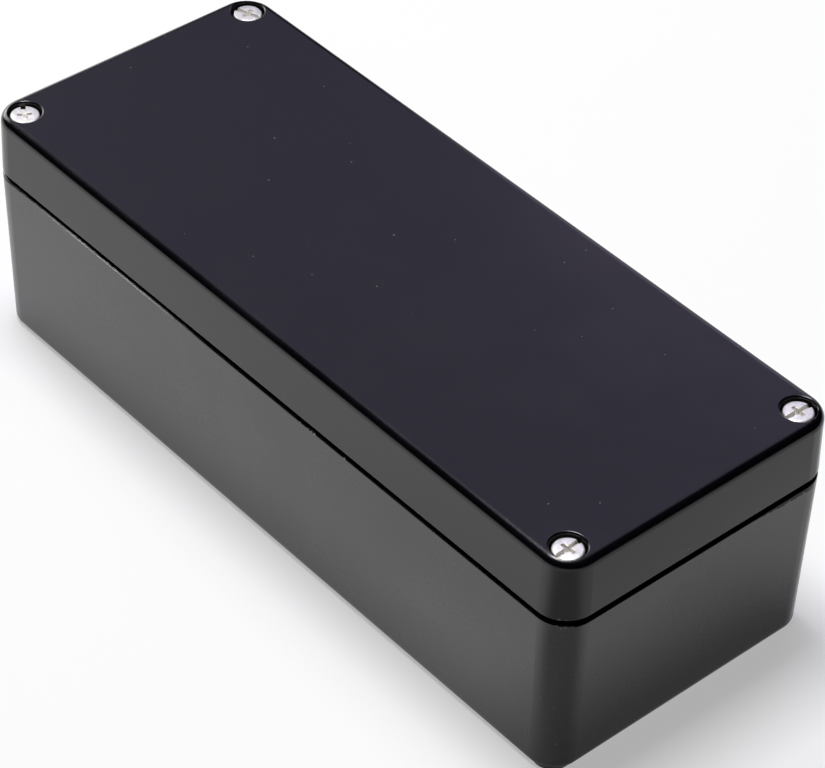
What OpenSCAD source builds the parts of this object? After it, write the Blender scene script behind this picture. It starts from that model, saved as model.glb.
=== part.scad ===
/* [Enclosure] */
// Outer length at the parting line between lid and base
box_length = 190; // [150:1:260]
// Outer width at the parting line
box_width = 75; // [68:1:120]
// Overall height of the closed box
box_height = 58.5; // [50:0.5:90]
// Height of the lid's sides, from its lower edge to its top face
lid_height = 14.9; // [13.5:0.1:24]
// Open shadow gap between the outer edges of base and lid
seam_gap = 1.2; // [0.6:0.1:2]
// Radius of the vertical corners at the parting line
corner_radius = 7.35; // [5:0.05:9]
// Inward lean of the lid's sides from the seam to the top face
lid_draft = 0.35; // [0:0.05:0.8]
// Inward lean of the base's sides from the seam to the underside
base_draft = 0.9; // [0:0.05:1.2]
// Edge radius round the lid's top face
lid_edge_round = 1.9; // [0.6:0.1:3]
// Edge radius round the base's underside
base_edge_round = 2; // [0.6:0.1:3]
// Small radius on the two edges that face each other at the seam
seam_edge_round = 0.4; // [0.2:0.05:0.5]

/* [Walls] */
// Thickness of the base's long walls at the parting line
side_wall = 4; // [3.8:0.1:5]
// Depth of the solid ends that carry the screws outside the seal
end_strip = 14.5; // [14.2:0.1:18]
// Thickness of the outer end walls beside the end pockets
end_wall = 3.3; // [2:0.1:4]
// Thickness of the base's inner wall between cavity and end pocket
inner_wall = 3.2; // [2.6:0.1:4.5]
// Thickness of the base's floor
floor_thickness = 4.5; // [3.5:0.1:7]
// Thickness of the lid's top plate
lid_thickness = 3.2; // [2.6:0.1:4]
// Least wall left between a pocket and the bore beside it
web = 1.6; // [1:0.1:2.5]
// Radius of the cavity's vertical corners at its mouth
cavity_corner = 4; // [3.2:0.1:6]
// Narrowing of the cavity from its mouth to the floor, each side
cavity_draft = 0.5; // [0:0.05:1]
// Radius of the vertical corners in the lid's hollow
lid_hollow_corner = 3; // [2.5:0.1:6]
// Radius where the inner walls meet the floor and the lid's ceiling
inner_round = 1.2; // [0.5:0.1:1.3]
// Corner radius of the open pockets in the ends
pocket_corner = 2; // [1:0.1:3]

/* [Seal] */
// Thickness of the tongue round the base's cavity
tongue_thickness = 2; // [1.5:0.1:2.2]
// Height of the tongue above the base's outer top edge
tongue_height = 3.4; // [2.4:0.1:4.5]
// Free space on each side of the tongue in the lid's groove
tongue_clearance = 0.3; // [0.15:0.05:0.4]
// Thickness of the rubber gasket above the tongue
gasket_thickness = 2; // [1.5:0.1:2.6]
// Free space on each side of the gasket in the groove
gasket_clearance = 0.1; // [0.05:0.05:0.25]
// Thickness of the ribs on both sides of the lid's groove
rib_thickness = 1.8; // [1.2:0.1:2]

/* [Lid screws] */
// Distance from a screw's axis to the end of the box
screw_inset_x = 6.2; // [6.1:0.05:6.8]
// Distance from a screw's axis to the side of the box
screw_inset_y = 6.05; // [5.9:0.05:6.8]
// Nominal thread diameter
thread_diameter = 4; // [3:0.5:4]
// Rise of the screw in one turn
thread_pitch = 0.7; // [0.5:0.05:0.7]
// Length of thread that holds in a corner insert
thread_engagement = 6.7; // [5:0.1:7.5]
// Radial running clearance of the shank in its insert and its washer
shank_clearance = 0.05; // [0.02:0.01:0.08]
// Bevel at the shank's tip
tip_bevel = 0.5; // [0.2:0.1:0.8]
// Diameter of the head
head_diameter = 6.6; // [6:0.1:7]
// Height of the head
head_height = 2.4; // [2.2:0.1:2.8]
// Depth of the head's top below the lid's top face
head_sink = 0.7; // [0.3:0.1:1.2]
// Radius on the head's upper edge
head_round = 0.4; // [0.2:0.05:0.6]
// Width of the straight slot across the head
slot_width = 1.1; // [0.8:0.1:1.3]
// Depth of the straight slot
slot_depth = 0.9; // [0.6:0.1:1.2]
// Width of one arm of the cross recess
cross_width = 0.95; // [0.7:0.05:1.2]
// Span of the cross recess at the head's face
cross_span = 4.4; // [3.5:0.1:5]
// Span of the cross recess at its bottom
cross_foot = 1.8; // [1.2:0.1:2.4]
// Depth of the cross recess
cross_depth = 1.6; // [1.2:0.1:1.8]
// Direction of the slot at the screws: front left, front right, back right, back left
slot_angles = [-28, -86, 88, 18]; // [-90:1:90]
// Free space round the head in its recess
recess_clearance = 0.5; // [0.3:0.05:0.6]
// Radius on the lip of the recess
recess_round = 0.5; // [0.3:0.05:0.6]
// Free space round the shank where it passes the lid
lid_hole_clearance = 0.3; // [0.2:0.05:0.5]

/* [Retaining washers] */
// Outer diameter of a retaining washer
washer_diameter = 6.8; // [6.2:0.1:7]
// Thickness of a retaining washer
washer_thickness = 1; // [0.8:0.1:1.4]
// Free space round a washer in the lid's counterbore
washer_side_clearance = 0.3; // [0.2:0.05:0.4]
// Free space above a raised washer and below a lowered one
washer_end_clearance = 0.2; // [0.1:0.05:0.3]

/* [Corner inserts] */
// Outer diameter of the brass inserts in the corners
insert_diameter = 6; // [5.6:0.1:6.4]
// Length of a corner insert
insert_length = 8; // [7:0.5:12]
// Depth of an insert's top below the landing pad
insert_sink = 1.5; // [1:0.1:2]
// Diameter of the pads on the base that the lid lands on
pad_diameter = 8.6; // [7.5:0.1:8.8]
// Free depth under the insert and the screw's tip, whichever is lower
tip_room = 2; // [1:0.5:4]
// Depth of the grooves turned into every insert
insert_groove_depth = 0.5; // [0.3:0.05:0.6]
// Width of the grooves turned into every insert
insert_groove_width = 1.2; // [0.8:0.1:1.6]

/* [Wall fixing] */
// Distance from a fixing hole's axis to the end of the box
fixing_inset_x = 6; // [5.9:0.1:6.8]
// Distance from a fixing hole's axis to the side of the box
fixing_inset_y = 15; // [14.5:0.5:18]
// Diameter of the fixing holes through the floor
fixing_hole = 4.5; // [4:0.1:5]
// Diameter of the channels that take the fixing screws' heads
fixing_channel = 7.8; // [7:0.1:8]
// Thickness of the seat under a fixing screw's head
fixing_seat = 5; // [4:0.5:8]

/* [Floor bosses] */
// Distance from a boss's axis to the cavity's end at its mouth
boss_inset_x = 8.5; // [7:0.5:20]
// Distance from a boss's axis to the cavity's side at its mouth
boss_inset_y = 9.5; // [7:0.5:20]
// Diameter of the bosses on the floor
boss_diameter = 9.5; // [9:0.1:12]
// Height of the bosses above the floor
boss_height = 6; // [6:0.5:12]
// Radius of the fillet round a boss's foot
boss_round = 1; // [0.5:0.1:2]
// Outer diameter of the brass inserts in the bosses
boss_insert_diameter = 6; // [5.4:0.1:6.4]
// Length of a boss insert
boss_insert_length = 6; // [5:0.5:7]
// Diameter of the threaded bore in a boss insert
boss_bore = 3.3; // [2.5:0.1:3.4]
// Free depth under a boss insert
boss_bore_room = 2; // [1:0.5:2.5]

/* [Hidden] */
$fn = 96;

over = 1;              // how far a cut runs past the face that it opens
corners = ["front_left", "front_right", "back_right", "back_left"];
corner_signs = [[-1, -1], [1, -1], [1, 1], [-1, 1]];
boss_names = ["front_left", "front_middle", "front_right", "back_right", "back_middle", "back_left"];
boss_signs = [[-1, -1], [0, -1], [1, -1], [1, 1], [0, 1], [-1, 1]];

plastic = [0.16, 0.155, 0.17];
steel = [0.86, 0.86, 0.85];
brass = [0.78, 0.62, 0.30];
rubber = [0.06, 0.06, 0.06];
nylon = [0.85, 0.84, 0.78];

// half sizes of the closed box and its cavity
outer_x = box_length / 2;
outer_y = box_width / 2;
cavity_x = outer_x - end_strip;
cavity_y = outer_y - side_wall;
pocket_end = outer_x - end_wall;

// heights above the underside
lid_bottom = box_height - lid_height;
base_height = lid_bottom - seam_gap;
ceiling = box_height - lid_thickness;
tongue_top = base_height + tongue_height;
groove_roof = tongue_top + gasket_thickness;
boss_top = floor_thickness + boss_height;

// lid screws and what they run in
screw_x = outer_x - screw_inset_x;
screw_y = outer_y - screw_inset_y;
shank_radius = thread_diameter / 2 - shank_clearance;
head_seat = box_height - head_sink - head_height;
insert_top = lid_bottom - insert_sink;
insert_bottom = insert_top - insert_length;
tip_height = insert_top - thread_engagement;
bore_foot = min(insert_bottom, tip_height) - tip_room;
screw_travel = ceil(thread_engagement / thread_pitch) * thread_pitch;
recess_radius = head_diameter / 2 + recess_clearance;
lid_hole_radius = thread_diameter / 2 + lid_hole_clearance;
washer_bottom = lid_bottom + washer_end_clearance;
counterbore_radius = washer_diameter / 2 + washer_side_clearance;
counterbore_roof = washer_bottom + washer_thickness + screw_travel + washer_end_clearance;

// wall fixing holes and the pockets beside them
fixing_x = outer_x - fixing_inset_x;
fixing_y = outer_y - fixing_inset_y;
base_pocket_x = cavity_x + inner_wall;
base_pocket_y = fixing_y - fixing_channel / 2 - web;
lid_pocket_x = cavity_x + tongue_thickness + tongue_clearance + rib_thickness;
lid_pocket_y = screw_y - counterbore_radius - web;

boss_x = cavity_x - boss_inset_x;
boss_y = cavity_y - boss_inset_y;

// Outer half of a disc, which rounds an edge without reaching past its own centre
module half_disc(radius) {
    intersection() {
        circle(radius);
        translate([0, -radius]) square([radius, 2 * radius]);
    }
}

// Half section of a moulded shell, outwards from the line of its corner centres: the open
// side lies on y = 0, the side leans in by draft over the height, both edges are rounded
module shell_section(reach, height, draft, far_round, near_round) {
    lean = atan(draft / height);
    side = reach * cos(lean);
    far_x = (side - far_round - (height - far_round) * sin(lean)) / cos(lean);
    near_x = (side - near_round - near_round * sin(lean)) / cos(lean);
    polygon([
        [0, 0],
        [near_x, 0],
        [near_x, near_round],
        [near_x + near_round * cos(lean), near_round + near_round * sin(lean)],
        [far_x + far_round * cos(lean), height - far_round + far_round * sin(lean)],
        [far_x, height - far_round],
        [far_x, height],
        [0, height]]);
    translate([far_x, height - far_round]) half_disc(far_round);
    if (near_round > 0) translate([near_x, near_round]) half_disc(near_round);
}

// Carries a half section round a rounded rectangle with its corner centres at +-cx, +-cy
module swept(cx, cy) {
    for (i = [0:3]) {
        reach = i % 2 == 0 ? cx : cy;
        span = i % 2 == 0 ? cy : cx;
        rotate([0, 0, 90 * i]) translate([reach, 0, 0])
            rotate([90, 0, 0]) linear_extrude(height = 2 * span, center = true) children();
        rotate([0, 0, 90 * i]) translate([reach, span, 0])
            rotate_extrude(angle = 90) children();
    }
}

// Solid moulded form: a rounded rectangle of the given half sizes at its open side
module moulded_form(half_x, half_y, radius, height, draft, far_round, near_round) {
    cx = half_x - radius;
    cy = half_y - radius;
    swept(cx, cy) shell_section(radius, height, draft, far_round, near_round);
    translate([-cx, -cy, 0]) cube([2 * cx, 2 * cy, height]);
}

// The same form hanging down from its open side
module hanging_form(half_x, half_y, radius, height, draft, far_round, near_round) {
    mirror([0, 0, 1]) moulded_form(half_x, half_y, radius, height, draft, far_round, near_round);
}

// Flat outline of a rectangle with round corners
module rounded_rectangle(half_x, half_y, radius) {
    square([2 * half_x, 2 * (half_y - radius)], center = true);
    square([2 * (half_x - radius), 2 * half_y], center = true);
    for (s = corner_signs)
        translate([s[0] * (half_x - radius), s[1] * (half_y - radius)]) circle(radius);
}

// Outline that follows the cavity's mouth at a distance
module mouth_outline(distance) {
    rounded_rectangle(cavity_x + distance, cavity_y + distance, cavity_corner + distance);
}

// Band between two distances from the cavity's mouth
module mouth_band(from, to, height) {
    linear_extrude(height) difference() {
        mouth_outline(to);
        mouth_outline(from);
    }
}

// Pocket in an end strip, from one distance along the box to another
module end_pockets(from_x, to_x, half_y, height) {
    for (s = [-1, 1])
        translate([s * (from_x + to_x) / 2, 0, 0]) linear_extrude(height)
            rounded_rectangle((to_x - from_x) / 2, half_y, pocket_corner);
}

module at_screws() {
    for (s = corner_signs) translate([s[0] * screw_x, s[1] * screw_y, 0]) children();
}

module at_fixings() {
    for (s = corner_signs) translate([s[0] * fixing_x, s[1] * fixing_y, 0]) children();
}

module at_bosses() {
    for (s = boss_signs) translate([s[0] * boss_x, s[1] * boss_y, 0]) children();
}

// Round boss with a fillet where it grows out of the floor
module boss() {
    foot = floor_thickness;
    radius = boss_diameter / 2;
    cylinder(r = radius, h = boss_top);
    rotate_extrude() difference() {
        translate([0, foot - over]) square([radius + boss_round, over + boss_round]);
        translate([radius + boss_round, foot + boss_round]) circle(boss_round);
    }
}

module base() {
    cavity_depth = tongue_top + over - floor_thickness;
    color(plastic) difference() {
        union() {
            difference() {
                union() {
                    translate([0, 0, base_height])
                        hanging_form(outer_x, outer_y, corner_radius, base_height,
                            base_draft, base_edge_round, seam_edge_round);
                    translate([0, 0, floor_thickness]) linear_extrude(tongue_top - floor_thickness)
                        mouth_outline(tongue_thickness);
                }
                translate([0, 0, tongue_top + over])
                    hanging_form(cavity_x, cavity_y, cavity_corner, cavity_depth,
                        cavity_draft, inner_round, 0);
            }
            at_bosses() boss();
            at_screws() cylinder(d = pad_diameter, h = lid_bottom);
        }
        translate([0, 0, floor_thickness])
            end_pockets(base_pocket_x, pocket_end, base_pocket_y, base_height);
        at_screws() {
            translate([0, 0, bore_foot]) cylinder(r = lid_hole_radius, h = box_height);
            translate([0, 0, insert_bottom]) cylinder(d = insert_diameter, h = insert_length);
        }
        at_fixings() {
            translate([0, 0, -over]) cylinder(d = fixing_hole, h = base_height);
            translate([0, 0, fixing_seat]) cylinder(d = fixing_channel, h = base_height);
        }
        at_bosses() {
            translate([0, 0, boss_top - boss_insert_length])
                cylinder(d = boss_insert_diameter, h = boss_insert_length + over);
            translate([0, 0, boss_top - boss_insert_length - boss_bore_room])
                cylinder(d = boss_bore, h = boss_bore_room + over);
        }
    }
}

// Cuts for one screw through the lid: recess with a rounded lip, shank hole, counterbore
module lid_screw_cuts() {
    translate([0, 0, head_seat]) cylinder(r = recess_radius, h = box_height);
    translate([0, 0, lid_bottom - over]) cylinder(r = lid_hole_radius, h = box_height);
    translate([0, 0, lid_bottom - over])
        cylinder(r = counterbore_radius, h = counterbore_roof - lid_bottom + over);
    translate([0, 0, box_height - recess_round]) rotate_extrude() difference() {
        square([recess_radius + recess_round, recess_round + over]);
        translate([recess_radius + recess_round, 0]) circle(recess_round);
    }
}

module lid() {
    rib_start = -tongue_clearance - rib_thickness;
    color(plastic) difference() {
        translate([0, 0, lid_bottom])
            moulded_form(outer_x, outer_y, corner_radius, lid_height,
                lid_draft, lid_edge_round, seam_edge_round);
        translate([0, 0, lid_bottom - over])
            moulded_form(cavity_x + rib_start, cavity_y + rib_start, lid_hollow_corner,
                ceiling - lid_bottom + over, cavity_draft, inner_round, 0);
        translate([0, 0, lid_bottom - over])
            mouth_band(-tongue_clearance, tongue_thickness + tongue_clearance,
                groove_roof - lid_bottom + over);
        translate([0, 0, lid_bottom - over])
            end_pockets(lid_pocket_x, pocket_end, lid_pocket_y, ceiling - lid_bottom + over);
        at_screws() lid_screw_cuts();
    }
}

module lid_gasket() {
    inner = gasket_clearance - tongue_clearance;
    outer = tongue_thickness + tongue_clearance - gasket_clearance;
    color(rubber) translate([0, 0, tongue_top]) mouth_band(inner, outer, gasket_thickness);
}

// One arm pair of the cross recess, narrowing towards its foot
module cross_arm() {
    rotate([90, 0, 0]) linear_extrude(height = cross_width, center = true)
        polygon([
            [-cross_span / 2, over], [-cross_span / 2, 0], [-cross_foot / 2, -cross_depth],
            [cross_foot / 2, -cross_depth], [cross_span / 2, 0], [cross_span / 2, over]]);
}

module lid_screw(i) {
    s = corner_signs[i];
    head_radius = head_diameter / 2;
    head_top = head_seat + head_height;
    color(steel) translate([s[0] * screw_x, s[1] * screw_y, 0]) difference() {
        rotate_extrude() {
            polygon([
                [0, tip_height],
                [shank_radius - tip_bevel, tip_height],
                [shank_radius, tip_height + tip_bevel],
                [shank_radius, head_seat],
                [head_radius, head_seat],
                [head_radius, head_top - head_round],
                [head_radius - head_round, head_top - head_round],
                [head_radius - head_round, head_top],
                [0, head_top]]);
            translate([head_radius - head_round, head_top - head_round]) circle(head_round);
        }
        rotate([0, 0, slot_angles[i]]) translate([0, 0, head_top]) {
            translate([-head_diameter, -slot_width / 2, -slot_depth])
                cube([2 * head_diameter, slot_width, slot_depth + over]);
            for (turn = [0, 90]) rotate([0, 0, turn]) cross_arm();
        }
    }
}

module retaining_washer(i) {
    s = corner_signs[i];
    color(nylon) translate([s[0] * screw_x, s[1] * screw_y, washer_bottom]) difference() {
        cylinder(d = washer_diameter, h = washer_thickness);
        translate([0, 0, -over])
            cylinder(d = thread_diameter, h = washer_thickness + 2 * over);
    }
}

// Brass insert standing on z = 0, with one groove turned round its middle
module threaded_insert(diameter, length, bore) {
    color(brass) difference() {
        cylinder(d = diameter, h = length);
        translate([0, 0, -over]) cylinder(d = bore, h = length + 2 * over);
        translate([0, 0, (length - insert_groove_width) / 2]) difference() {
            cylinder(d = diameter + 2 * over, h = insert_groove_width);
            translate([0, 0, -over])
                cylinder(d = diameter - 2 * insert_groove_depth, h = insert_groove_width + 2 * over);
        }
    }
}

module corner_insert(i) {
    s = corner_signs[i];
    translate([s[0] * screw_x, s[1] * screw_y, insert_bottom])
        threaded_insert(insert_diameter, insert_length, thread_diameter);
}

module boss_insert(i) {
    s = boss_signs[i];
    translate([s[0] * boss_x, s[1] * boss_y, boss_top - boss_insert_length])
        threaded_insert(boss_insert_diameter, boss_insert_length, boss_bore);
}

base();
lid();
lid_gasket();
for (i = [0:3]) {
    lid_screw(i);
    retaining_washer(i);
    corner_insert(i);
}
for (i = [0:5])
    boss_insert(i);
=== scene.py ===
import math
import bpy
from mathutils import Matrix, Vector


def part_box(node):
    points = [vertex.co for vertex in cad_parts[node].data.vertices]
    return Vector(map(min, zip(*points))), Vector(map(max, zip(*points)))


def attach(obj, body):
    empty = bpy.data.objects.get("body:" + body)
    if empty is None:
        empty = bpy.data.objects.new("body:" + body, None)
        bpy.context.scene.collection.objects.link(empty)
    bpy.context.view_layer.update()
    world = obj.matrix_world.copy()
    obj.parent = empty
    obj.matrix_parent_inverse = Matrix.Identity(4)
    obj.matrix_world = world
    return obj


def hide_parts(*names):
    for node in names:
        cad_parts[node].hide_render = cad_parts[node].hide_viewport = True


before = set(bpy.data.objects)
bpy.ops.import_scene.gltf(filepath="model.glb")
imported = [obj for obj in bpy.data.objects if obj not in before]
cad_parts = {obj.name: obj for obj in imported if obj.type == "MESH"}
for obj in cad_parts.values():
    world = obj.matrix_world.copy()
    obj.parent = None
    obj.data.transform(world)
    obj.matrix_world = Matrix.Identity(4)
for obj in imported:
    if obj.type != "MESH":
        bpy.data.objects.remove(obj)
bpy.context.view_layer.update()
mm = 0.001
weldGap = 0.0008 * mm  # points closer than this are merged
cornerNames = ["front_left", "front_right", "back_right", "back_left"]
print("frame loaded:", len(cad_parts), "nodes")

# angles in degrees; right and up move the aim off the middle of the underside, in metres
cameraView = {
    "azimuth": 48.05, "elevation": 41.15, "roll": 2.05, "distance": 0.7336,
    "right": 0.00571, "up": 0.01641, "lens": 143.87, "nearest": 0.02,
}


# right, up and backward of something that looks at the middle from an azimuth and elevation
def viewAxes(azimuth, elevation, roll=0.0):
    az, el, ro = (math.radians(v) for v in (azimuth, elevation, roll))
    back = Vector((math.sin(az) * math.cos(el), -math.cos(az) * math.cos(el), math.sin(el)))
    right = Vector((0, 0, 1)).cross(back).normalized()
    up = back.cross(right)
    return (right * math.cos(ro) + up * math.sin(ro),
            up * math.cos(ro) - right * math.sin(ro), back)


def makeCamera():
    view = cameraView
    right, up, back = viewAxes(view["azimuth"], view["elevation"], view["roll"])
    place = right * view["right"] + up * view["up"] + back * view["distance"]
    bpy.ops.object.camera_add(location=place)
    camera = bpy.context.object
    camera.name = "camera"
    camera.rotation_euler = Matrix((right, up, back)).transposed().to_euler()
    camera.data.lens = view["lens"]
    camera.data.clip_start = view["nearest"]
    bpy.context.scene.camera = camera


makeCamera()
print("camera set")


class Wire:  # a socket of a material, so that shader maths reads as plain sums
    def __init__(self, tree, socket):
        self.tree = tree
        self.socket = socket

    def node(self, kind, settings=None, inputs=None, output=0):
        made = self.tree.nodes.new(kind)
        for key, value in (settings or {}).items():
            setattr(made, key, value)
        for key, value in (inputs or {}).items():
            socket = made.inputs[key]
            if isinstance(value, Wire):
                self.tree.links.new(value.socket, socket)
            else:
                socket.default_value = (*value, 1.0) if socket.type == "RGBA" else value
        return Wire(self.tree, made.outputs[output]) if made.outputs else None

    def sum(self, operation, first, second):
        return self.node("ShaderNodeMath", {"operation": operation}, {0: first, 1: second})

    def __add__(self, other): return self.sum("ADD", self, other)
    def __radd__(self, other): return self.sum("ADD", other, self)
    def __sub__(self, other): return self.sum("SUBTRACT", self, other)
    def __rsub__(self, other): return self.sum("SUBTRACT", other, self)
    def __mul__(self, other): return self.sum("MULTIPLY", self, other)
    def __rmul__(self, other): return self.sum("MULTIPLY", other, self)
    def __abs__(self): return self.sum("ABSOLUTE", self, 0.0)
    def above(self, level): return self.sum("GREATER_THAN", self, level)
    def below(self, level): return self.sum("LESS_THAN", self, level)
    def larger(self, other): return self.sum("MAXIMUM", self, other)
    def power(self, index): return self.sum("POWER", self, index)

    # 0 at the first level, 1 at the second, eased between
    def between(self, first, second):
        return self.node("ShaderNodeMapRange", {"interpolation_type": "SMOOTHSTEP"},
                         {"Value": self, "From Min": first, "From Max": second})

    def parts(self):
        split = self.node("ShaderNodeSeparateXYZ", None, {0: self}).socket.node
        return [Wire(self.tree, socket) for socket in split.outputs]

    def vector(self, x, y, z):
        return self.node("ShaderNodeCombineXYZ", None, {0: x, 1: y, 2: z})

    def noise(self, scale, detail=3.0, roughness=0.5, distortion=0.0):
        return self.node("ShaderNodeTexNoise", None, {
            "Vector": self, "Scale": scale, "Detail": detail,
            "Roughness": roughness, "Distortion": distortion})

    def stretched(self, scale):
        return self.node("ShaderNodeMapping", None, {"Vector": self, "Scale": scale})

    # output 0 is the distance from the cell's point, 1 a colour of the cell's own
    def cells(self, scale, output=0):
        return self.node("ShaderNodeTexVoronoi", None, {"Vector": self, "Scale": scale}, output)

    def distanceTo(self, point):
        return self.node("ShaderNodeVectorMath", {"operation": "DISTANCE"},
                         {0: self, 1: point}, "Value")

    def stripes(self, perMetre):
        return self.sum("SINE", self * (perMetre * math.tau), 0.0)


def newMaterial(name):
    material = bpy.data.materials.new(name)
    material.use_nodes = True
    material.node_tree.nodes.clear()
    start = Wire(material.node_tree, None)
    return material, start.node("ShaderNodeTexCoord", output="Object")


def mixColours(factor, first, second):
    return factor.node("ShaderNodeMix", {"data_type": "RGBA"}, {0: factor, 6: first, 7: second}, 2)


def finishShader(shader, kind="ShaderNodeOutputMaterial"):
    shader.node(kind, None, {"Surface": shader})


# bumps: height, strength and distance of each, the first one lowest
def finishMaterial(place, inputs, bumps):
    normal = {}
    for height, strength, distance in bumps:
        made = place.node("ShaderNodeBump", None, dict(
            normal, Height=height, Strength=strength, Distance=distance))
        normal = {"Normal": made}
    finishShader(place.node("ShaderNodeBsdfPrincipled", None, dict(inputs, **normal)))


def dress(node, material):
    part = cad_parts[node]
    part.data.materials.clear()
    part.data.materials.append(material)


# what the lid's and the base's moulding share; strengths are shares of the dust's colour
mouldedSurface = {
    "cloudScale": 38.0, "flowStretch": (9, 40, 40), "waveScale": 55.0, "waveHeight": 0.02 * mm,
    "speckCore": 0.4, "dustStrength": 0.4, "nickStrength": 0.46, "markRoughness": 0.3,
}
# nicks and specks: x, y, z and radius in mm
lidPlastic = {
    "dark": (0.0012, 0.0011, 0.0022), "pale": (0.0020, 0.0017, 0.0034), "ior": 1.52,
    "roughness": 0.20, "smudge": 0.05, "grainScale": 3800.0, "grainHeight": 0.006 * mm,
    "dust": (0.30, 0.29, 0.28), "dustScale": 400.0, "dustSize": 0.09, "dustShare": 0.93,
    "nicks": ((92.2, -35.9, 43.9, 0.45), (93.3, -35.0, 43.8, 0.3), (-46.9, 5.7, 58.5, 0.28),
              (-35.9, -4.7, 58.5, 0.25), (-4.5, 4.1, 58.5, 0.28), (6.3, -9.7, 58.5, 0.24),
              (-29.7, 13.4, 58.5, 0.22), (77.7, -26.5, 58.5, 0.22), (83.8, -18.5, 58.5, 0.22)),
}
basePlastic = {
    "dark": (0.0080, 0.0075, 0.0070), "pale": (0.0110, 0.0102, 0.0096), "ior": 1.72,
    "roughness": 0.26, "smudge": 0.06, "grainScale": 3000.0, "grainHeight": 0.009 * mm,
    "dust": (0.26, 0.25, 0.24), "dustScale": 420.0, "dustSize": 0.09, "dustShare": 0.95,
    "nicks": ((91.9, -36.1, 42.3, 0.4), (93.2, -35.0, 42.1, 0.55), (92.6, -35.5, 41.6, 0.3),
              (89.6, -36.7, 20.6, 0.26), (92.1, -35.3, 18.9, 0.2), (92.6, -34.5, 8.2, 0.24)),
}
lidScratch = {  # start and end in mm
    "start": (-46.8, -13.8), "end": (-45.2, -3.7), "width": 0.16 * mm, "bow": 20.0,
    "above": 58 * mm, "grain": 700.0, "breaks": (0.35, 0.65), "strength": 0.12,
}
# painted highlight: a pale broken line along the top edge of the base's front wall, densest between
# the full places
paintedEdgeHighlight = {
    "colour": (0.80, 0.79, 0.78), "low": 42.1 * mm, "fade": 0.08 * mm, "wall": -37.12 * mm,
    "grain": 420.0, "from": -90 * mm, "fullFrom": -62 * mm, "fullTo": -42 * mm, "to": -14 * mm,
    "flecksFull": 20 * mm, "flecksTo": 62 * mm, "flecks": 0.6,
    "lineBreaks": (0.24, 0.50), "fleckBreaks": (0.60, 0.70),
}
# painted shade: a ragged dark line along the top of the base's right wall, just under the seam,
# deepest at its far end
paintedSeamShade = {
    "colour": (0.001, 0.001, 0.001), "top": 42.4 * mm, "fade": 0.06 * mm, "wall": 94.1 * mm,
    "grain": 520.0, "from": 12 * mm, "full": 31 * mm,
    "least": 0.357 * mm, "uneven": 0.126 * mm, "deepest": 4.18 * mm, "smoothed": 0.2,
}


# 1 inside the small round nicks, 0 outside
def nickMarks(place, nicks):
    total = None
    for x, y, z, radius in nicks:
        away = place.distanceTo((x * mm, y * mm, z * mm))
        spot = away.between(radius * mm, mouldedSurface["speckCore"] * radius * mm)
        total = total.larger(spot) if total else spot
    return total


# thinly scattered settled dust: one cell in a few holds a speck
def dustSpecks(place, size):
    kept = place.cells(size["dustScale"], 1).parts()[0].above(size["dustShare"])
    away = place.cells(size["dustScale"])
    return away.between(size["dustSize"], mouldedSurface["speckCore"] * size["dustSize"]) * kept


def scratchLine(place):
    size = lidScratch
    (x1, y1), (x2, y2) = size["start"], size["end"]
    length = math.hypot(x2 - x1, y2 - y1)
    along, across = (x2 - x1) / length, (y2 - y1) / length
    x, y, z = place.parts()
    run = (x - x1 * mm) * along + (y - y1 * mm) * across
    bow = run * (length * mm - run) * size["bow"]
    aside = abs((x - x1 * mm) * across - (y - y1 * mm) * along + bow)
    ends = run.above(0.0) * run.below(length * mm) * z.above(size["above"])
    broken = place.noise(size["grain"]).between(*size["breaks"])
    return aside.between(size["width"], 0.0) * ends * broken * size["strength"]


# painted highlight along the top edge of the base's front wall, breaking up into flecks
def paintedEdgeHighlightMask(place):
    size = paintedEdgeHighlight
    x, y, z = place.parts()
    band = z.between(size["low"] - size["fade"], size["low"]) * y.below(size["wall"])
    highlightNoise = place.stretched((1, 1, 0.2)).noise(size["grain"], 4.0, 0.7)
    rise = x.between(size["from"], size["fullFrom"])
    fall = x.between(size["to"], size["fullTo"])
    line = rise * fall * highlightNoise.between(*size["lineBreaks"])
    thinning = x.between(size["flecksTo"], size["flecksFull"]) * size["flecks"]
    return band * line.larger(highlightNoise.between(*size["fleckBreaks"]) * thinning)


# painted shade under the seam along the top of the base's right wall
def paintedSeamShadeMask(place):
    size = paintedSeamShade
    x, y, z = place.parts()
    ragged = place.stretched((1, 1, 0.3)).noise(size["grain"], 3.0, 0.65)
    reach = y.between(size["from"], size["full"]) * (ragged - size["smoothed"]) * size["deepest"]
    edge = size["top"] - (reach + ragged * size["uneven"] + size["least"])
    return z.between(edge - size["fade"], edge) * x.above(size["wall"])


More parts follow.
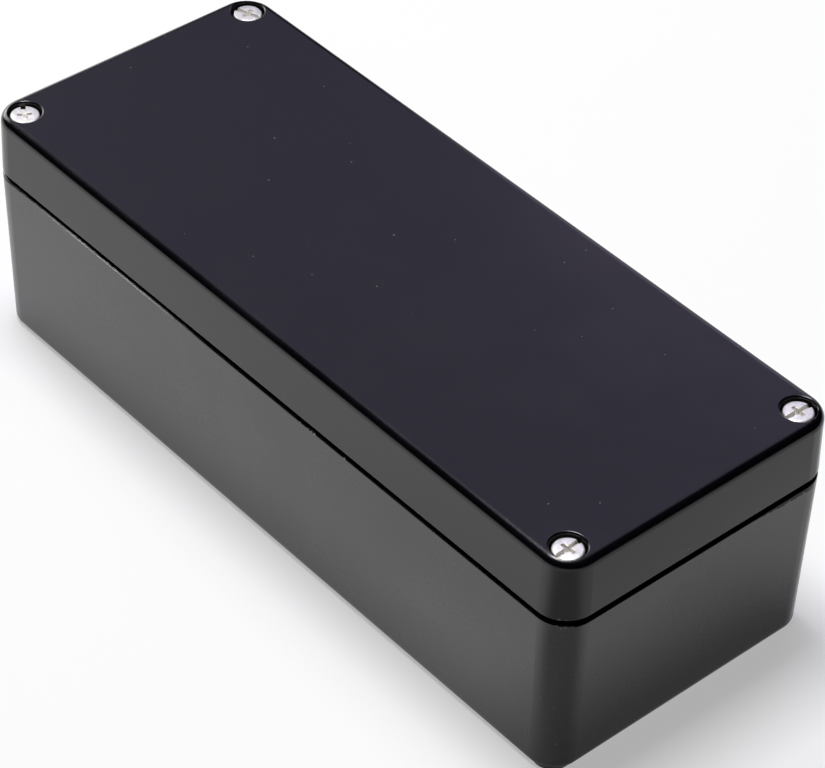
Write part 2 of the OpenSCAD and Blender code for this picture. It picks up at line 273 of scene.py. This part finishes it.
# near black moulded plastic: faint clouds, lines of flow and fine grain, then dust and nicks, and
# where asked a painted seam shade and a painted edge highlight
def mouldedMaterial(name, size, scratched=False, paintedSeamShadeAndHighlight=False):
    shared, smudge = mouldedSurface, size["smudge"]
    material, place = newMaterial(name)
    cloud = place.noise(shared["cloudScale"], 4.0, 0.6).between(0.32, 0.68)
    grain = place.noise(size["grainScale"], 2.0, 0.6)
    flow = place.stretched(shared["flowStretch"]).noise(1.0, 3.0, 0.55, 0.6).between(0.3, 0.7)
    wave = place.noise(shared["waveScale"], 1.0)
    marked = dustSpecks(place, size)
    if scratched:
        marked = marked.larger(scratchLine(place))
    nicked = nickMarks(place, size["nicks"]) * shared["nickStrength"]
    marked = (marked * shared["dustStrength"]).larger(nicked)
    body = mixColours(cloud * 0.6 + flow * 0.4, size["dark"], size["pale"])
    body = mixColours(marked, body, size["dust"])
    roughness = cloud * smudge + flow * (0.5 * smudge) + grain * smudge
    roughness = roughness + (size["roughness"] - 1.1 * smudge) + marked * shared["markRoughness"]
    inputs = {"Roughness": roughness, "IOR": size["ior"]}
    if paintedSeamShadeAndHighlight:
        # painted shade under the seam on the right wall
        seamShadeAmount = paintedSeamShadeMask(place)
        body = mixColours(seamShadeAmount, body, paintedSeamShade["colour"])
        # painted highlight along the front wall's top edge
        body = mixColours(paintedEdgeHighlightMask(place), body, paintedEdgeHighlight["colour"])
        inputs["Metallic"] = seamShadeAmount  # takes the shine off the painted seam shade, so that it stays black
    inputs["Base Color"] = body
    finishMaterial(place, inputs, [
        (wave, 0.5, shared["waveHeight"]), (grain, 0.4, size["grainHeight"])])
    return material


screwSteel = {
    "bright": (0.93, 0.93, 0.91), "dull": (0.80, 0.79, 0.74), "tint": (0.60, 0.51, 0.32),
    "roughness": 0.30, "metal": 0.8, "recessDulling": 0.75, "turningMarks": 5200.0,
    "axisX": 88.8 * mm, "axisY": 31.45 * mm, "headTop": 57.8 * mm, "headFoot": 55.3 * mm,
    "recessRadius": 3.0 * mm, "wallFrom": 0.03 * mm, "wallFull": 0.12 * mm,
    "tintFades": 0.20 * mm, "tintEnds": 0.36 * mm, "tintFading": 0.9,
    "grainScale": 2600.0, "cloudScale": 900.0, "ringHeight": 0.004 * mm,
    "grainHeight": 0.008 * mm,
}


# bright plating with turning marks round each axis and a yellow-brown tinge down in the recess
def steelMaterial():
    size = screwSteel
    material, place = newMaterial("screwSteel")
    x, y, z = place.parts()
    aside = place.vector(abs(x) - size["axisX"], abs(y) - size["axisY"], 0.0)
    radius = aside.distanceTo((0, 0, 0))
    rings = radius.stripes(size["turningMarks"])
    grain = place.noise(size["grainScale"], 4.0, 0.6)
    cloud = place.noise(size["cloudScale"], 3.0, 0.6).between(0.3, 0.7)
    top = size["headTop"]
    recess = z.between(top - size["wallFrom"], top - size["wallFull"])
    recess = recess * z.above(size["headFoot"]) * radius.below(size["recessRadius"])
    faded = z.between(top - size["tintFades"], top - size["tintEnds"]) * size["tintFading"]
    tinge = recess * (1.0 - faded) * (0.6 + 0.4 * cloud)
    body = mixColours(tinge, mixColours(cloud, size["dull"], size["bright"]), size["tint"])
    finishMaterial(place, {
        "Base Color": body, "Metallic": size["metal"] - size["recessDulling"] * recess,
        "Roughness": grain * 0.16 + cloud * 0.08 + size["roughness"],
    }, [(rings, 0.25, size["ringHeight"]), (grain, 0.35, size["grainHeight"])])
    return material


insertBrass = {
    "fresh": (0.78, 0.57, 0.26), "tarnished": (0.42, 0.28, 0.12), "tarnish": 0.75,
    "roughness": 0.30, "turningMarks": 4200.0, "cloudScale": 700.0, "grainScale": 4000.0,
    "markHeight": 0.006 * mm,
}


def brassMaterial():
    size = insertBrass
    material, place = newMaterial("insertBrass")
    cloud = place.noise(size["cloudScale"], 4.0, 0.6).between(0.35, 0.7)
    turning = place.parts()[2].stripes(size["turningMarks"])
    grain = place.noise(size["grainScale"], 2.0)
    finishMaterial(place, {
        "Base Color": mixColours(cloud * size["tarnish"], size["fresh"], size["tarnished"]),
        "Metallic": 1.0 - 0.1 * cloud,
        "Roughness": cloud * 0.18 + grain * 0.08 + size["roughness"],
    }, [(turning, 0.25, size["markHeight"]), (grain, 0.3, size["markHeight"])])
    return material


washerNylon = {
    "clean": (0.72, 0.71, 0.66), "aged": (0.60, 0.57, 0.48), "roughness": 0.36,
    "cloudScale": 420.0, "grainScale": 3600.0, "cloudHeight": 0.02 * mm,
    "grainHeight": 0.008 * mm,
}


def nylonMaterial():
    size = washerNylon
    material, place = newMaterial("washerNylon")
    cloud = place.noise(size["cloudScale"], 3.0, 0.6).between(0.3, 0.72)
    grain = place.noise(size["grainScale"], 3.0)
    finishMaterial(place, {
        "Base Color": mixColours(cloud, size["clean"], size["aged"]),
        "Roughness": grain * 0.14 + size["roughness"],
    }, [(cloud, 0.4, size["cloudHeight"]), (grain, 0.3, size["grainHeight"])])
    return material


sealRubber = {
    "black": (0.014, 0.014, 0.015), "chalky": (0.045, 0.044, 0.043), "roughness": 0.62,
    "bloomScale": 160.0, "grainScale": 2400.0, "streakScale": 240.0,
    "streakStretch": (1, 1, 14), "streakHeight": 0.03 * mm, "grainHeight": 0.02 * mm,
}


def rubberMaterial():
    size = sealRubber
    material, place = newMaterial("sealRubber")
    bloom = place.noise(size["bloomScale"], 4.0, 0.65).between(0.45, 0.75)
    grain = place.noise(size["grainScale"], 3.0, 0.6)
    streaks = place.stretched(size["streakStretch"]).noise(size["streakScale"], 2.0)
    finishMaterial(place, {
        "Base Color": mixColours(bloom, size["black"], size["chalky"]),
        "Roughness": bloom * 0.12 + grain * 0.1 + size["roughness"],
    }, [(streaks, 0.4, size["streakHeight"]), (grain, 0.5, size["grainHeight"])])
    return material


dress("lid", mouldedMaterial("lidPlastic", lidPlastic, scratched=True))
dress("base", mouldedMaterial("basePlastic", basePlastic, paintedSeamShadeAndHighlight=True))
steel, brass, nylon, rubber = steelMaterial(), brassMaterial(), nylonMaterial(), rubberMaterial()
print("materials made")


def startAlone():
    if bpy.context.object and bpy.context.object.mode != "OBJECT":
        bpy.ops.object.mode_set(mode="OBJECT")
    bpy.ops.object.select_all(action="DESELECT")


def choose(piece):
    startAlone()
    piece.select_set(True)
    bpy.context.view_layer.objects.active = piece


def discard(piece):
    choose(piece)
    bpy.ops.object.delete()


# faces or vertices whose place (and direction) passes the test, left selected in edit mode
def pick(piece, kind, test):
    bpy.ops.object.mode_set(mode="EDIT")
    bpy.ops.mesh.select_mode(type=kind)
    bpy.ops.mesh.select_all(action="DESELECT")
    bpy.ops.object.mode_set(mode="OBJECT")
    if kind == "FACE":
        for face in piece.data.polygons:
            face.select = test(face.center, face.normal)
    else:
        for vertex in piece.data.vertices:
            vertex.select = test(vertex.co, vertex.normal)
    bpy.ops.object.mode_set(mode="EDIT")


def closeUp(piece, smoothAngle=35):
    choose(piece)
    bpy.ops.object.mode_set(mode="EDIT")
    bpy.ops.mesh.select_all(action="SELECT")
    bpy.ops.mesh.remove_doubles(threshold=weldGap)
    bpy.ops.mesh.normals_make_consistent(inside=False)
    bpy.ops.object.mode_set(mode="OBJECT")
    bpy.ops.object.shade_smooth_by_angle(angle=math.radians(smoothAngle))


# a turned form: a ring is drawn through (radius, height) points in mm,
# capped at both ends or joined back to its start
def turned(name, sides, section, capped):
    startAlone()
    radius, height = section[0]
    bpy.ops.mesh.primitive_circle_add(vertices=sides, radius=radius * mm, fill_type="NOTHING",
                                      location=(0, 0, height * mm))
    piece = bpy.context.object
    piece.name = name
    bpy.ops.object.transform_apply(location=True)
    bpy.ops.object.mode_set(mode="EDIT")
    bpy.ops.mesh.select_mode(type="EDGE")
    bpy.ops.mesh.select_all(action="SELECT")
    if capped:
        bpy.ops.mesh.edge_face_add()
    for nextRadius, nextHeight in section[1:]:
        bpy.ops.mesh.extrude_region_move(
            TRANSFORM_OT_translate={"value": (0, 0, (nextHeight - height) * mm)})
        ratio = nextRadius / radius
        bpy.ops.transform.resize(value=(ratio, ratio, 1), center_override=(0, 0, 0))
        radius, height = nextRadius, nextHeight
    bpy.ops.object.mode_set(mode="OBJECT")
    closeUp(piece)
    return piece


def applyModifier(piece, kind, settings):
    choose(piece)
    modifier = piece.modifiers.new("step", kind)
    for key, value in settings.items():
        setattr(modifier, key, value)
    bpy.ops.object.modifier_apply(modifier=modifier.name)


def combine(piece, operation, tool):
    applyModifier(piece, "BOOLEAN", {"operation": operation, "object": tool, "solver": "EXACT"})
    discard(tool)
    closeUp(piece)


def block(width, depth, low, high, turn=0.0):
    startAlone()
    bpy.ops.mesh.primitive_cube_add(size=1, location=(0, 0, (low + high) / 2 * mm),
                                    rotation=(0, 0, turn))
    piece = bpy.context.object
    piece.scale = (width * mm, depth * mm, (high - low) * mm)
    bpy.ops.object.transform_apply(location=True, rotation=True, scale=True)
    return piece


# shares of the pitch that the thread takes up at its root, and of that at its crest
threadForm = {"root": 0.94, "crest": 0.14, "steps": 28}


# one turn's section wound up a helix; it is sunk into the core that it joins
def threadRidge(rootRadius, crestRadius, pitch, low, high):
    startAlone()
    bpy.ops.mesh.primitive_plane_add(size=1)
    piece = bpy.context.object
    piece.rotation_euler = (math.radians(90), 0, 0)
    piece.scale = ((crestRadius - rootRadius) * mm, pitch * threadForm["root"] * mm, 1)
    piece.location = ((crestRadius + rootRadius) / 2 * mm, 0, low * mm)
    bpy.ops.object.transform_apply(location=True, rotation=True, scale=True)
    pick(piece, "VERT", lambda place, normal: place.x > (crestRadius + rootRadius) / 2 * mm)
    bpy.ops.transform.resize(value=(1, 1, threadForm["crest"]),
                             center_override=(crestRadius * mm, 0, low * mm))
    bpy.ops.mesh.select_all(action="SELECT")
    bpy.ops.mesh.delete(type="ONLY_FACE")
    bpy.ops.object.mode_set(mode="OBJECT")
    applyModifier(piece, "SCREW", {
        "axis": "Z", "angle": math.tau, "screw_offset": pitch * mm, "steps": threadForm["steps"],
        "render_steps": threadForm["steps"], "iterations": round((high - low) / pitch),
        "use_smooth_shade": False})
    bpy.ops.object.mode_set(mode="EDIT")
    bpy.ops.mesh.select_all(action="SELECT")
    bpy.ops.mesh.remove_doubles(threshold=weldGap)
    bpy.ops.mesh.fill_holes(sides=4)
    bpy.ops.object.mode_set(mode="OBJECT")
    closeUp(piece)
    return piece


# own mesh for each copy, with its place in the mesh, over the middle of the solid it replaces
def placeCopy(model, name, turn, body, node, material):
    low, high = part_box(node)
    centre = (low + high) / 2
    choose(model)
    bpy.ops.object.duplicate()
    piece = bpy.context.object
    piece.name = name
    piece.location = (centre.x, centre.y, 0)
    piece.rotation_euler = (0, 0, math.radians(turn))
    bpy.ops.object.transform_apply(location=True, rotation=True, scale=True)
    piece.data.materials.clear()
    piece.data.materials.append(material)
    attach(piece, body)
    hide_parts(node)


# in mm, how far cuts and joins run past the form itself, so that they stay clean
allowance = {
    "cutterLength": 8, "rise": 1, "coreOverlap": 0.9, "ridgeSink": 0.12, "crestBack": 0.02,
    "threadStart": 0.2, "trimRadius": 2.2, "boreSink": 0.2, "cutBelow": 0.4, "cutAbove": 0.2,
    "rimReach": 0.02,
}
# sizes in mm, heights from the box's underside, angles in degrees;
# crossFootShare is the share of the cross's width that is left at its foot
lidScrew = {
    "headRadius": 3.3, "headTop": 57.8, "seat": 55.4, "headRound": 0.4, "shankRadius": 1.95,
    "chamfer": 0.12, "neckFlare": 0.1, "plainEnd": 49.0, "rootRadius": 1.52, "pitch": 0.7,
    "tip": 35.4, "tipRadius": 1.3, "tipTaper": 0.9, "slotWidth": 1.1, "slotDepth": 0.9,
    "crossWidth": 0.95, "crossSpan": 4.4, "crossFootSpan": 1.8, "crossFootShare": 0.8,
    "crossDepth": 1.6, "edgeBreak": 0.045,
    "angles": {"front_left": -28, "front_right": -86, "back_right": 88, "back_left": 18},
}


def makeLidScrew():
    size, past = lidScrew, allowance
    top, seat, rim, edge = size["headTop"], size["seat"], size["headRound"], size["chamfer"]
    bend = [(size["headRadius"] - rim + rim * math.sin(a), top - rim + rim * math.cos(a))
            for a in (math.radians(90 - 22.5 * i) for i in range(5))]
    head = turned("screwModel", 56, [
        (size["shankRadius"], size["plainEnd"]), (size["shankRadius"], seat - edge),
        (size["shankRadius"] + size["neckFlare"], seat), (size["headRadius"] - edge, seat),
        (size["headRadius"], seat + edge)] + bend, True)
    combine(head, "DIFFERENCE", block(
        past["cutterLength"], size["slotWidth"], top - size["slotDepth"], top + past["rise"]))
    narrow, slim = size["crossFootSpan"] / size["crossSpan"], size["crossFootShare"]
    for turn, foot in ((0, (narrow, slim, 1)), (math.pi / 2, (slim, narrow, 1))):
        arm = block(size["crossSpan"], size["crossWidth"],
                    top - size["crossDepth"], top + past["rise"], turn)
        pick(arm, "FACE", lambda place, normal: normal.z < -0.5)
        bpy.ops.transform.resize(value=foot, center_override=(0, 0, 0))
        bpy.ops.object.mode_set(mode="OBJECT")
        combine(head, "DIFFERENCE", arm)
    applyModifier(head, "BEVEL", {"width": size["edgeBreak"] * mm, "segments": 2,
                                  "limit_method": "ANGLE", "angle_limit": math.radians(38)})
    core = turned("threadCore", 28, [
        (size["rootRadius"], size["tip"]),
        (size["rootRadius"], size["plainEnd"] + past["coreOverlap"])], True)
    combine(core, "UNION", threadRidge(
        size["rootRadius"] - past["ridgeSink"], size["shankRadius"] - past["crestBack"],
        size["pitch"], size["tip"] - past["threadStart"], size["plainEnd"]))
    combine(core, "INTERSECT", turned("trim", 40, [  # tapers the tip
        (size["tipRadius"], size["tip"]), (past["trimRadius"], size["tip"] + size["tipTaper"]),
        (past["trimRadius"], size["plainEnd"] + past["rise"])], True))
    combine(head, "UNION", core)
    closeUp(head, 40)
    return head


threadedInsert = {
    "radius": 3.0, "chamfer": 0.35, "grooveDepth": 0.5, "grooveWidth": 1.2, "grooveSlope": 0.1,
    "knurlDepth": 0.16, "knurls": 36, "pitch": 0.7, "threadDepth": 0.32, "leadIn": 0.25,
    "cornerBore": 2.0, "bossBore": 1.65,
}


def makeInsert(node, bore):
    size, past = threadedInsert, allowance
    low, high = (corner.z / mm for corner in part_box(node))
    radius, chamfer, half = size["radius"], size["chamfer"], size["grooveWidth"] / 2
    middle, neck, slope = (low + high) / 2, radius - size["grooveDepth"], size["grooveSlope"]
    mouth = size["leadIn"]
    insert = turned("insertModel", 2 * size["knurls"], [
        (bore + mouth, low), (radius - chamfer, low), (radius, low + chamfer),
        (radius, middle - half), (neck, middle - half + slope), (neck, middle + half - slope),
        (radius, middle + half), (radius, high - chamfer), (radius - chamfer, high),
        (bore + mouth, high), (bore, high - mouth), (bore, low + mouth),
        (bore + mouth, low)], False)
    step = math.pi / size["knurls"]
    rim = (radius - past["rimReach"]) * mm
    pick(insert, "VERT", lambda place, normal: math.hypot(place.x, place.y) > rim
         and round(math.atan2(place.y, place.x) / step) % 2 == 1)
    shrink = 1 - size["knurlDepth"] / radius
    bpy.ops.transform.resize(value=(shrink, shrink, 1), center_override=(0, 0, 0))
    bpy.ops.object.mode_set(mode="OBJECT")
    combine(insert, "DIFFERENCE", threadRidge(
        bore - past["boreSink"], bore + size["threadDepth"],
        size["pitch"], low - past["cutBelow"], high + past["cutAbove"]))
    return insert


retainingWasher = {
    "radius": 3.4, "hole": 2.0, "edge": 0.14, "panel": 0.12, "panelFrom": 0.38, "panelTo": 0.46,
}


def makeWasher(node):
    size = retainingWasher
    low, high = (corner.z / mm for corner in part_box(node))
    outer, hole, edge = size["radius"], size["hole"], size["edge"]
    start, end, sunk = size["panelFrom"], size["panelTo"], high - size["panel"]
    rim = [(outer - edge + edge * math.cos(a), math.sin(a) * edge)
           for a in (math.radians(30 * i) for i in range(4))]
    eye = [(hole + edge - edge * math.cos(a), math.sin(a) * edge)
           for a in (math.radians(90 - 30 * i) for i in range(4))]
    above = [(r, high - edge + h) for r, h in rim] + [
        (outer - start, high), (outer - end, sunk), (hole + end, sunk),
        (hole + start, high)] + [(r, high - edge + h) for r, h in eye]
    below = [(r, low + high - h) for r, h in reversed(above)]
    return turned("washerModel", 56, above + below + above[:1], False)


gasketStrip = {
    "width": 2.4, "cornerRadius": 4.2, "edgeRound": 0.25, "lipWidth": 0.768, "lipDepth": 0.3,
}


def makeGasket(material):
    size = gasketStrip
    low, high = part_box("lid_gasket")
    startAlone()
    bpy.ops.mesh.primitive_plane_add(size=1, location=(0, 0, low.z))
    gasket = bpy.context.object
    gasket.name = "lidGasket"
    gasket.scale = (high.x - low.x, high.y - low.y, 1)
    bpy.ops.object.transform_apply(location=True, scale=True)
    bpy.ops.object.mode_set(mode="EDIT")
    bpy.ops.mesh.select_all(action="SELECT")
    bpy.ops.mesh.bevel(offset=size["cornerRadius"] * mm, segments=10, affect="VERTICES")
    bpy.ops.mesh.select_all(action="SELECT")
    bpy.ops.mesh.inset(thickness=size["width"] * mm)
    bpy.ops.mesh.delete(type="FACE")
    bpy.ops.mesh.select_all(action="SELECT")
    bpy.ops.mesh.extrude_region_move(TRANSFORM_OT_translate={"value": (0, 0, high.z - low.z)})
    bpy.ops.object.mode_set(mode="OBJECT")
    closeUp(gasket)
    pick(gasket, "FACE", lambda place, normal: normal.z < -0.9)
    bpy.ops.mesh.inset(thickness=size["lipWidth"] * mm)
    bpy.ops.mesh.extrude_region_move(
        TRANSFORM_OT_translate={"value": (0, 0, size["lipDepth"] * mm)})
    bpy.ops.object.mode_set(mode="OBJECT")
    applyModifier(gasket, "BEVEL", {"width": size["edgeRound"] * mm, "segments": 3,
                                    "limit_method": "ANGLE", "angle_limit": math.radians(50)})
    closeUp(gasket)
    gasket.data.materials.append(material)
    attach(gasket, "lid")
    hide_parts("lid_gasket")


def fitPieces():
    model = makeLidScrew()
    for corner, angle in lidScrew["angles"].items():
        placeCopy(model, "lidScrew_" + corner, angle, "screw_" + corner,
                  "lid_screw_" + corner, steel)
    discard(model)
    print("lid screws fitted")
    model = makeWasher("retaining_washer_front_left")
    for corner in cornerNames:
        placeCopy(model, "retainingWasher_" + corner, 0, "washer_" + corner,
                  "retaining_washer_" + corner, nylon)
    discard(model)
    model = makeInsert("corner_insert_front_left", threadedInsert["cornerBore"])
    for corner in cornerNames:
        placeCopy(model, "cornerInsert_" + corner, 0, "base",
                  "corner_insert_" + corner, brass)
    discard(model)
    model = makeInsert("boss_insert_front_left", threadedInsert["bossBore"])
    for corner in cornerNames + ["front_middle", "back_middle"]:
        placeCopy(model, "bossInsert_" + corner, 0, "base",
                  "boss_insert_" + corner, brass)
    discard(model)
    makeGasket(rubber)
    print("washers, inserts and gasket fitted")


fitPieces()

studio = {
    "floorSize": 6.0, "floorDrop": 0.05 * mm, "floorColour": (0.93, 0.93, 0.93),
    "floorCloud": (0.9114, 0.9114, 0.9114), "halfLength": 95 * mm, "halfWidth": 37.5 * mm,
    # plain white takes whiteShare of the floor's look from whiteFrom away on, and only
    # leastWhite of that beside the object; gaps off an end and a side are scaled first
    "whiteShare": 0.85, "leastWhite": 0.5, "whiteFrom": 90 * mm, "endScale": 1.25, "sideScale": 4.0,
}
# darker places of the floor, each from its faint edge to its full part, that only gloss mirrors
mirroredShade = {
    "corner": (124 * mm, -63 * mm, 0), "cornerEdge": 70 * mm, "cornerFull": 28 * mm,
    "cornerShare": 0.60,
    "endEdge": 104 * mm, "endFull": 140 * mm, "endShare": 0.33,
    "footEdge": 128 * mm, "footFull": 96 * mm, "footStart": 95 * mm, "footShare": 0.48,
    "frontEdge": -90 * mm, "frontFull": 30 * mm, "frontNear": (-50 * mm, -62 * mm),
    "frontFar": (-88 * mm, -64 * mm), "frontShare": 0.17,
}
# azimuth and elevation in degrees, distance and width in metres, radiance, colour
lamps = {
    "overhead": (-85, 82, 0.9, 0.3, 21.5, (1.0, 0.985, 1.03)),
    "backSky": (-130, 52, 1.4, 1.1, 0.47, (0.98, 0.90, 1.28)),
    "backFill": (-155, 28, 0.65, 0.3, 0.88, (0.98, 0.90, 1.22)),
    "leftLow": (-108, 12, 0.65, 0.2, 1.9, (1, 1, 1)),
    "leftGlow": (-90, 12, 0.65, 0.2, 3.2, (1, 1, 1)),
    "left": (-90, 28, 0.65, 0.3, 3.9, (1, 1, 1)),
}


def darkPlaces(place):
    size = mirroredShade
    x, y = place.parts()[:2]
    corner = place.distanceTo(size["corner"]).between(size["cornerEdge"], size["cornerFull"])
    end = x.between(size["endEdge"], size["endFull"]) * size["endShare"]
    foot = x.between(size["footEdge"], size["footFull"]) * x.above(size["footStart"])
    front = x.between(size["frontEdge"], size["frontFull"]) * size["frontShare"]
    front = front * y.between(*size["frontNear"]) * y.between(*size["frontFar"])
    return (corner * size["cornerShare"]).larger(end + foot * size["footShare"] + front)


# pale floor: near the object its own shading and shadow, whiter away from it
def makeFloor():
    bpy.ops.mesh.primitive_plane_add(size=studio["floorSize"],
                                     location=(0, 0, -studio["floorDrop"]))
    floor = bpy.context.object
    floor.name = "floor"
    material, place = newMaterial("paleFloor")
    x, y = place.parts()[:2]
    cloud = place.noise(9.0, 3.0).between(0.3, 0.7)
    shaded = place.node("ShaderNodeBsdfPrincipled", None, {
        "Base Color": mixColours(cloud, studio["floorColour"], studio["floorCloud"]),
        "Roughness": 0.9, "Specular IOR Level": 0.0})
    white = place.node("ShaderNodeEmission", None, {"Color": (1, 1, 1), "Strength": 1.0})
    black = place.node("ShaderNodeEmission", None, {"Color": (0, 0, 0), "Strength": 0.0})
    pastEnd = (abs(x) - studio["halfLength"]).larger(0.0) * studio["endScale"]
    pastSide = (abs(y) - studio["halfWidth"]).larger(0.0) * studio["sideScale"]
    gap = (pastEnd * pastEnd + pastSide * pastSide).power(0.5)
    glossy = place.node("ShaderNodeLightPath", output="Is Glossy Ray")
    seen = (place.node("ShaderNodeLightPath", output="Is Camera Ray") + glossy
            + place.node("ShaderNodeLightPath", output="Is Transmission Ray"))
    least = studio["leastWhite"]
    share = gap.between(0.0, studio["whiteFrom"]) * (1.0 - least) + least
    plain = place.node("ShaderNodeMixShader", None, {
        0: share * studio["whiteShare"] * seen, 1: shaded, 2: white})
    finishShader(place.node("ShaderNodeMixShader", None, {
        0: darkPlaces(place) * glossy, 1: plain, 2: black}))
    floor.data.materials.append(material)


def makeLamps():
    for name, (azimuth, elevation, distance, width, radiance, tint) in lamps.items():
        right, up, back = viewAxes(azimuth, elevation)
        bpy.ops.object.light_add(type="AREA", location=back * distance)
        lamp = bpy.context.object
        lamp.name = name
        lamp.rotation_euler = Matrix((right, up, back)).transposed().to_euler()
        lamp.data.shape = "SQUARE"
        lamp.data.size = width
        lamp.data.color = tint
        lamp.data.energy = radiance * math.pi * width * width


# dark surroundings, white only where the camera itself looks past the floor
def makeWorld():
    world = bpy.data.worlds.new("surroundings")
    world.use_nodes = True
    world.node_tree.nodes.clear()
    start = Wire(world.node_tree, None)
    dark = start.node("ShaderNodeBackground", None, {"Color": (0, 0, 0), "Strength": 0.0})
    white = start.node("ShaderNodeBackground", None, {"Color": (1, 1, 1), "Strength": 1.0})
    seen = start.node("ShaderNodeLightPath", output="Is Camera Ray")
    finishShader(start.node("ShaderNodeMixShader", None, {0: seen, 1: dark, 2: white}),
                 "ShaderNodeOutputWorld")
    bpy.context.scene.world = world


makeFloor()
makeLamps()
makeWorld()
bpy.context.scene.view_settings.view_transform = "Standard"
print("floor and lights made")
